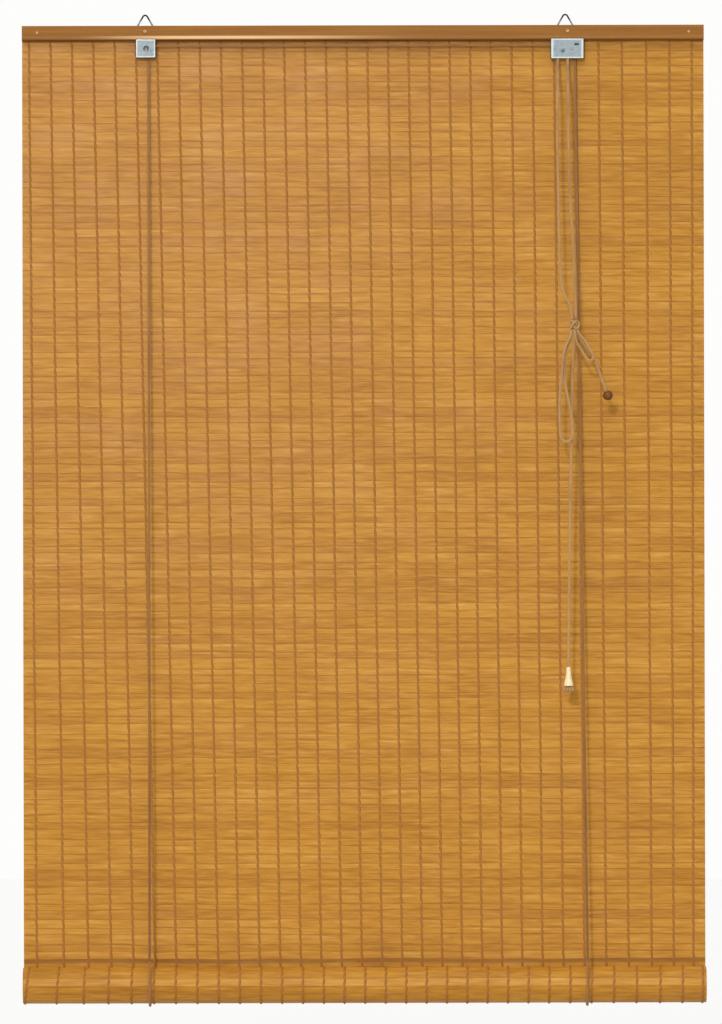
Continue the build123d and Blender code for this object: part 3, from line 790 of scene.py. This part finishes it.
def roll_corners():
    """Radius, angle and half step of each slat corner, from the loose outer turn to the core."""
    sizes = bpy.context.scene.blind_mat
    roll = bpy.context.scene.blind_roll
    layer = (mat_high.y - mat_low.y) + 2 * roll.thread + roll.gap
    corners = []
    angle = 0.0
    for number in range(sizes.rolled + 1):
        turns = angle / math.tau
        tightened = turns if turns > 1 else turns ** 8
        radius = roll.radius - layer * tightened
        half_step = math.asin(sizes.pitch / 2 / radius)
        corners.append((radius, angle, half_step))
        angle += 2 * half_step
    return corners


def on_roll(radius, angle, across=0.0):
    """Point of the roll, with the angle measured from the rear, down and round to the front."""
    return Vector((across, roll_axis[1] + radius * math.cos(angle), roll_axis[2] - radius * math.sin(angle)))


# Routes of the free cords, in metres
cord_routes = {
    "left_pull_cord": [
        (0.2677, -0.0129, -0.0422),
        (0.2677, -0.0129, -0.0550),
        (0.2672, -0.0330, -0.0750),
        (0.2663, -0.0560, -0.1030),
        (0.2652, -0.0660, -0.1450),
        (0.2656, -0.0670, -0.1950),
        (0.2680, -0.0672, -0.2900),
        (0.2686, -0.0670, -0.3400),
        (0.2725, -0.0665, -0.3660),
        (0.2841, -0.0660, -0.3860),
        (0.2841, -0.0660, -0.4015),
    ],
    "right_pull_cord": [
        (0.2805, -0.0129, -0.0422),
        (0.2805, -0.0129, -0.0550),
        (0.2803, -0.0330, -0.0750),
        (0.2799, -0.0560, -0.1030),
        (0.2798, -0.0660, -0.1450),
        (0.2804, -0.0670, -0.1950),
        (0.2826, -0.0670, -0.2500),
        (0.2859, -0.0666, -0.3050),
        (0.2893, -0.0660, -0.3700),
        (0.2893, -0.0660, -0.4015),
    ],
    "left_bow": [
        (0.2838, -0.0682, -0.4145),
        (0.2838, -0.0682, -0.4220),
        (0.2742, -0.0695, -0.4380),
        (0.2716, -0.0697, -0.4640),
        (0.2679, -0.0698, -0.4960),
        (0.2674, -0.0700, -0.5260),
        (0.2684, -0.0703, -0.5564),
        (0.2732, -0.0705, -0.5614),
        (0.2802, -0.0705, -0.5614),
        (0.2850, -0.0704, -0.5562),
        (0.2840, -0.0698, -0.5300),
        (0.2790, -0.0680, -0.5060),
        (0.2746, -0.0656, -0.4840),
        (0.2740, -0.0643, -0.4600),
        (0.2784, -0.0639, -0.4360),
        (0.2833, -0.0641, -0.4230),
        (0.2833, -0.0641, -0.4145),
    ],
    "right_bow": [
        (0.2916, -0.0682, -0.4145),
        (0.2916, -0.0682, -0.4190),
        (0.3000, -0.0692, -0.4265),
        (0.3065, -0.0694, -0.4390),
        (0.3125, -0.0695, -0.4485),
        (0.3110, -0.0697, -0.4555),
        (0.3038, -0.0700, -0.4546),
        (0.2965, -0.0703, -0.4415),
        (0.2877, -0.0703, -0.4270),
        (0.2877, -0.0703, -0.4145),
    ],
    "knob_cord": [
        (0.2917, -0.0640, -0.4145),
        (0.2917, -0.0640, -0.4215),
        (0.3005, -0.0633, -0.4340),
        (0.3105, -0.0631, -0.4490),
        (0.3182, -0.0633, -0.4640),
        (0.3234, -0.0638, -0.4810),
        (0.3293, -0.0644, -0.4960),
    ],
    "bell_cord": [
        (0.2874, -0.0659, -0.4145),
        (0.2874, -0.0659, -0.4260),
        (0.2858, -0.0653, -0.4460),
        (0.2846, -0.0650, -0.4800),
        (0.2834, -0.0652, -0.5600),
        (0.2812, -0.0656, -0.6550),
        (0.2798, -0.0659, -0.7700),
        (0.2787, -0.0660, -0.8419),
        (0.2787, -0.0660, -0.8790),
    ],
}


# Camera
class BLIND_OT_camera(bpy.types.Operator):
    """Sets the camera in front of the blind, as in the photograph"""

    bl_idname = "blind.camera"
    bl_label = "Camera"

    def execute(self, context):
        data = bpy.data.cameras.new("camera")
        data.lens = camera_lens
        camera = bpy.data.objects.new("camera", data)
        context.scene.collection.objects.link(camera)
        camera.location = camera_place
        camera.rotation_euler = (math.radians(90), camera_roll, 0)
        context.scene.camera = camera
        return {"FINISHED"}


# Free cords with the knot, bell and knob on them
def knot_line():
    """Line of an overhand knot that fits the solid of the cord knot."""
    low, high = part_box("cord_knot")
    middle = (low + high) / 2
    cord = bpy.context.scene.blind_cord.diameter / 2
    spread = ((high.x - low.x) / 2 - cord) / 3
    rise = (high.z - low.z) / 2 - cord
    line = []
    for step in range(72):
        turn = math.tau * step / 72
        arm = spread * (2 + math.cos(3 * turn))
        spot = Vector((arm * math.cos(2 * turn), arm * math.sin(2 * turn), rise * math.sin(3 * turn)))
        line.append(middle + spot)
    return line


def wrap_line():
    """Line of the wraps that make the knot below the bell."""
    low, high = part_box("bell_knot")
    cord = bpy.context.scene.blind_cord.diameter / 2
    radius = (high.y - low.y) / 2 - cord
    middle = Vector(((low.x + high.x) / 2, (low.y + high.y) / 2, low.z + radius + cord))
    turns = 4
    steps = 16 * turns
    reach = (high.x - low.x) - 2 * cord - 0.001
    line = []
    for step in range(steps + 1):
        share = step / steps
        turn = math.tau * turns * share
        fade = radius * (0.55 + 0.45 * math.sin(math.pi * share) ** 0.5)
        line.append(middle + Vector((
            reach * (share - 0.5),
            fade * math.cos(turn),
            fade * math.sin(turn),
        )))
    return line


class BLIND_OT_cords(bpy.types.Operator):
    """Makes the braided cords that hang free, with their knots, bell and knob"""

    bl_idname = "blind.cords"
    bl_label = "Free cords"

    def execute(self, context):
        sizes = context.scene.blind_cord
        radius = sizes.diameter / 2
        knot = place_piece(
            tube(knot_line(), radius, sizes.sides, closed=True),
            "pull_knot", "cord", "frame", "cord_cotton", "cord_knot",
        )
        wraps = place_piece(
            tube(wrap_line(), radius, sizes.sides), "bell_wraps", "cord", "frame", "cord_cotton", "bell_knot"
        )
        dress("bell_plastic", "bell")
        dress("knob_wood", "knob")
        for name, route in cord_routes.items():
            line = smooth_route(route)
            piece = place_piece(
                tube(line, radius, sizes.sides), f"braided_{name}", "cord", "frame", "cord_cotton", name
            )
        return {"FINISHED"}


# Lift cords, which are held at both ends
class BLIND_OT_lift_cords(bpy.types.Operator):
    """Makes the lift cords: rear legs, slings under the roll, front legs and the bends over the wheels"""

    bl_idname = "blind.lift_cords"
    bl_label = "Lift cords"

    def leg(self, name, low, high):
        """Straight stretch of cord between two points."""
        sizes = bpy.context.scene.blind_cord
        piece = place_piece(
            tube([low, (low + high) / 2, high], sizes.diameter / 2, sizes.sides),
            f"lift_{name}", "lift_cord", "frame", "cord_cotton", name,
        )
        gather(piece, high.z)

    def execute(self, context):
        sizes = context.scene.blind_cord
        radius = sizes.diameter / 2
        for side in ("left", "right"):
            low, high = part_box(f"{side}_rear_leg")
            across = (low.x + high.x) / 2
            rear = (low.y + high.y) / 2
            self.leg(f"{side}_rear_leg", Vector((across, rear, low.z)), Vector((across, rear, high.z)))
            bight_low, bight_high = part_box(f"{side}_sling")
            front = bight_low.y + radius
            foot = bight_low.z + radius
            level = bight_high.z
            reach = level - foot
            clear = level + 1.2 * reach
            route = [
                (across, front, clear),
                (across, front, level + reach),
                (across, front, foot),
                (across, rear, foot),
                (across, rear, level),
            ]
            place_piece(
                tube(smooth_route(route), radius, sizes.sides),
                f"lift_{side}_sling", "lift_cord", "slings", "cord_cotton", f"{side}_sling",
            )
            low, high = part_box(f"{side}_front_leg")
            shift = (high.x - low.x) - sizes.diameter
            head = Vector((across - shift, high.y - radius, high.z - sizes.drop))
            self.leg(f"{side}_front_leg", Vector((across, front, clear)), head)
        self.bend("cross_cord", sizes.drop, 0.0)
        self.bend("turn_cord", 0.0, sizes.drop)
        return {"FINISHED"}

    def bend(self, name, left_drop, right_drop):
        """Cord over one or two wheels, in the box of its solid, with the lift cord's end hanging lower."""
        sizes = bpy.context.scene.blind_cord
        radius = sizes.diameter / 2
        low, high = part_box(name)
        middle = (low.y + high.y) / 2
        left = low.x + radius
        right = high.x - radius
        top = high.z - radius
        route = [(left, middle, low.z), (left, middle, top)]
        if left_drop:
            route.insert(0, (left, middle, low.z - left_drop))
        corner = sizes.wheel * 1.4
        if right - left > 4 * sizes.wheel:
            route += [(left + corner, middle, top), (right - corner, middle, top)]
        route += [(right, middle, top), (right, middle, low.z)]
        if right_drop:
            route.append((right, middle, low.z - right_drop))
        place_piece(
            tube(smooth_route(route), radius, sizes.sides),
            f"lift_{name}", "lift_cord", "frame", "cord_cotton", name,
        )


# Hanging mat
class BLIND_OT_mat(bpy.types.Operator):
    """Makes the hanging mat of slats, each with its own tilt and gently bent edges"""

    bl_idname = "blind.mat"
    bl_label = "Hanging mat"

    def execute(self, context):
        sizes = context.scene.blind_mat
        chance = random.Random(4)
        phases = [
            (chance.uniform(0, math.tau), chance.uniform(0, math.tau)) for _ in range(sizes.hanging + 1)
        ]
        tilts = [chance.uniform(-sizes.tilt, sizes.tilt) for _ in range(sizes.hanging)]
        spots = [thread_spots(number / sizes.hanging) for number in range(sizes.hanging)]

        def bend(edge, across):
            """How far a joint is bent up or down at one place across the mat."""
            if edge in (0, sizes.hanging):
                return 0.0
            first, second = phases[edge]
            return sizes.bend * (math.sin(across * 17.0 + first) + 0.6 * math.sin(across * 47.0 + second))

        def place(number, spot):
            """Point of one slat."""
            across = at_threads(spots[number], spot)
            share = spot.z / sizes.pitch + 0.5
            top = slat_edge(number) + bend(number, across)
            foot = slat_foot(number) + bend(number + 1, across)
            rear = mat_middle.y + spot.y + tilts[number] * (share - 0.5)
            return (across, rear, foot + (top - foot) * share)

        blank = slat_blank(sizes)
        piece = place_piece(
            lay_slats(blank, sizes.hanging, 0, place),
            "hanging_slats", "bamboo", "frame", "slat_bamboo", "mat",
        )
        bpy.data.meshes.remove(blank)
        gather(piece, mat_high.z)
        return {"FINISHED"}


# Rolled mat
class BLIND_OT_roll(bpy.types.Operator):
    """Makes the rolled slats, laid on the spiral of the roll, and dresses the batten inside"""

    bl_idname = "blind.roll"
    bl_label = "Roll"

    def execute(self, context):
        sizes = context.scene.blind_mat
        corners = roll_corners()
        spots = roll_spots()
        thick = mat_high.y - mat_low.y

        def place(number, spot):
            """Point of one rolled slat."""
            radius, angle, half_step = corners[number]
            start = on_roll(radius, angle)
            end = on_roll(*corners[number + 1][:2])
            chord = (end - start).normalized()
            outward = Vector((0, -chord.z, chord.y))
            middle = (start + end) / 2 - outward * thick / 2
            depth = spot.y / thick + 0.5
            taper = 1 - depth * thick * math.tan(half_step) * 2 / sizes.pitch
            rise = chord * (spot.z * taper * (end - start).length / sizes.pitch)
            return middle + rise - outward * spot.y + Vector((at_threads(spots, spot), 0, 0))

        blank = slat_blank(sizes)
        place_piece(
            lay_slats(blank, sizes.rolled, sizes.hanging, place),
            "rolled_slats", "bamboo", "roll", "slat_bamboo", "mat_roll",
        )
        bpy.data.meshes.remove(blank)
        dress("batten_wood", "bottom_batten")
        return {"FINISHED"}


# Warp threads
def repeat_column(column, places, shift):
    """Bmesh with the column's mesh at each place, with each point moved by shift(place, spot)."""
    bm = bmesh.new()
    for place in places:
        old = len(bm.verts)
        bm.from_mesh(column)
        bm.verts.ensure_lookup_table()
        for vert in bm.verts[old:]:
            vert.co = shift(place, vert.co)
    return bm


def column_mesh(line, radius, sides=6):
    """Mesh of one thread along a line."""
    bm = tube(line, radius, sides)
    mesh = bpy.data.meshes.new("column")
    bm.to_mesh(mesh)
    bm.free()
    return mesh


class BLIND_OT_threads(bpy.types.Operator):
    """Makes the warp threads, one slanted stitch over each slat, on both faces of the mat and on the roll"""

    bl_idname = "blind.threads"
    bl_label = "Warp threads"

    def execute(self, context):
        sizes = context.scene.blind_thread
        slats = context.scene.blind_mat
        length = mat_high.z - mat_low.z
        line = []
        for number in range(slats.hanging):
            top = slat_edge(number)
            foot = slat_foot(number)
            tall = top - foot
            line += [
                Vector((-sizes.zigzag, 0.5 * sizes.radius, top - 0.12 * tall)),
                Vector((0, -0.1 * sizes.radius, (top + foot) / 2)),
                Vector((sizes.zigzag, 0.5 * sizes.radius, foot + 0.12 * tall)),
            ]
        column = column_mesh(line, sizes.radius)

        def hang(ends, spot, face, side):
            """Point of a thread between its top and its foot, on the front face or turned to the rear one."""
            fall = (mat_high.z - spot.z) / length
            across = ends[0] + (ends[1] - ends[0]) * fall
            return (across + side * spot.x, face + side * sizes.flatness * spot.y, spot.z)

        places = list(zip(thread_spots(0), thread_spots(1)))
        for name, face, side in (("front_threads", mat_low.y, 1), ("rear_threads", mat_high.y, -1)):
            threads = repeat_column(column, places, lambda ends, spot: hang(ends, spot, face, side))
            piece = place_piece(threads, name, "thread", "frame", "thread_cotton", "warp_threads")
            gather(piece, mat_high.z)
        bpy.data.meshes.remove(column)
        self.roll_threads(roll_spots(), sizes)
        return {"FINISHED"}

    def roll_threads(self, places, sizes):
        """Threads round the outer turn of the roll."""
        proud = 0.1 * sizes.radius
        sunk = 0.5 * sizes.radius
        line = []
        turn = [corner for corner in roll_corners() if corner[1] < math.tau - 2 * corner[2]]
        for radius, angle, half_step in turn[:-1]:
            inner = radius * math.cos(half_step)
            for share, side, height in ((0.15, -1, -sunk), (0.5, 0, proud), (0.85, 1, -sunk)):
                spot = angle + 2 * half_step * share
                reach = inner / math.cos(spot - angle - half_step) + height
                line.append(on_roll(reach, spot, side * sizes.zigzag))
        column = column_mesh(line, sizes.radius)

        def round_roll(number, spot):
            """Point of a thread on the roll, where the ones at the left end run aslant."""
            fall = (roll_axis[2] - spot.z) / 0.05
            slip = sizes.slip * math.exp(-number / 1.8) * (fall * 0.6 + 1)
            return (spot.x + places[number] - slip, spot.y, spot.z)

        place_piece(
            repeat_column(column, range(sizes.count), round_roll),
            "rolled_threads", "thread", "roll", "thread_cotton", "roll_threads",
        )
        bpy.data.meshes.remove(column)


# Solids that keep their shape
class BLIND_OT_finishes(bpy.types.Operator):
    """Gives the rails, loops, housings, wheels and fasteners their finishes"""

    bl_idname = "blind.finishes"
    bl_label = "Finishes"

    def execute(self, context):
        dress("rail_wood", "rear_rail", "front_rail")
        dress("nail_steel", "rail_nails", "left_loop_screw", "right_loop_screw")
        dress("wire_steel", "left_hanger", "right_hanger")
        dress("left_plate", "left_housing", "left_axle")
        dress("right_plate", "right_housing", "first_axle", "second_axle")
        dress("screw_steel", "left_screw", "right_screw")
        dress("pin_steel", "cam_pin")
        dress("wheel_plastic", "left_wheel", "first_wheel", "second_wheel")
        dress("cam_plastic", "lock_cam")
        return {"FINISHED"}


# Stage
def light(kind, name, place, target, power):
    """Lamp of a kind that shines from a place toward a target."""
    data = bpy.data.lights.new(name, kind)
    data.energy = power
    lamp = bpy.data.objects.new(name, data)
    bpy.context.scene.collection.objects.link(lamp)
    lamp.location = place
    lamp.rotation_euler = (Vector(target) - Vector(place)).to_track_quat("-Z", "Y").to_euler()
    return data


class BLIND_OT_stage(bpy.types.Operator):
    """Makes the pale floor, the world and the lamps"""

    bl_idname = "blind.stage"
    bl_label = "Stage"

    def execute(self, context):
        context.scene.view_settings.view_transform = "Standard"
        self.world(context)
        self.floor(context)
        light("SUN", "key", (-0.35, -2.4, 0.75), (0, 0, 0), 1.03).angle = math.radians(4)
        light("SUN", "sky", (-0.2, -1.2, 1.6), (0, 0, 0), 1.15).angle = math.radians(35)
        light("AREA", "sheen", (-0.1, -3.0, -0.4), (-0.05, 0.0, -0.6), 9.0).size = 1.0
        return {"FINISHED"}

    def world(self, context):
        """White where the camera or a gloss looks, and an even dimmer light elsewhere."""
        world = bpy.data.worlds.new("studio")
        context.scene.world = world
        shader = Shader(world, "Background")
        shader.set(Color=backdrop, Strength=shader.seen() * (1 - even_light) + even_light)

    def floor(self, context):
        """Floor below the blind that keeps its shadow and is near white to the camera."""
        bm = bmesh.new()
        bmesh.ops.create_grid(bm, x_segments=1, y_segments=1, size=7.0)
        bmesh.ops.translate(bm, verts=bm.verts, vec=(0, 0, floor_level))
        mesh = bpy.data.meshes.new("floor")
        bm.to_mesh(mesh)
        bm.free()
        plane = bpy.data.objects.new("floor", mesh)
        context.scene.collection.objects.link(plane)
        material = bpy.data.materials.new("floor")
        shader = Shader(material)
        shader.set(Base_Color=(0.9, 0.895, 0.88, 1.0), Roughness=0.9)
        glow = shader.make("ShaderNodeEmission", None, {"Color": backdrop})
        plain = Value(shader, shader.surface.outputs[0])
        shares = {0: shader.seen() * floor_glow, 1: plain, 2: glow}
        mixed = shader.make("ShaderNodeMixShader", None, shares)
        shader.feed(shader.tree.nodes["Material Output"].inputs["Surface"], mixed)
        mesh.materials.append(material)


# Sidebar
class BLIND_PT_panel(bpy.types.Panel):
    """Sizes, colours and steps of the blind"""

    bl_label = "Roll up blind"
    bl_idname = "BLIND_PT_panel"
    bl_space_type = "VIEW_3D"
    bl_region_type = "UI"
    bl_category = "Blind"

    def draw(self, context):
        for name in settings_groups:
            group = getattr(context.scene, name)
            box = self.layout.box()
            for setting in group.bl_rna.properties:
                if setting.identifier not in ("rna_type", "name"):
                    box.prop(group, setting.identifier)
        for step in steps:
            self.layout.operator(step.bl_idname)


settings_groups = {
    "blind_mat": MatSettings,
    "blind_roll": RollSettings,
    "blind_thread": ThreadSettings,
    "blind_cord": CordSettings,
    "blind_colours": ColourSettings,
}
steps = [
    BLIND_OT_camera,
    BLIND_OT_cords,
    BLIND_OT_lift_cords,
    BLIND_OT_mat,
    BLIND_OT_roll,
    BLIND_OT_threads,
    BLIND_OT_finishes,
    BLIND_OT_stage,
]


def register():
    """Registers the settings, the steps and the panel."""
    for name, group in settings_groups.items():
        bpy.utils.register_class(group)
        setattr(bpy.types.Scene, name, PointerProperty(type=group))
    for step in [*steps, BLIND_PT_panel]:
        bpy.utils.register_class(step)


def unregister():
    """Takes the panel, the steps and the settings away again."""
    for step in [BLIND_PT_panel, *reversed(steps)]:
        bpy.utils.unregister_class(step)
    for name, group in settings_groups.items():
        delattr(bpy.types.Scene, name)
        bpy.utils.unregister_class(group)


def main():
    """Registers the add-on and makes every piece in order."""
    register()
    bpy.ops.blind.camera()
    bpy.ops.blind.cords()
    bpy.ops.blind.lift_cords()
    bpy.ops.blind.mat()
    bpy.ops.blind.roll()
    bpy.ops.blind.threads()
    bpy.ops.blind.finishes()
    bpy.ops.blind.stage()


if __name__ == "__main__":
    main()
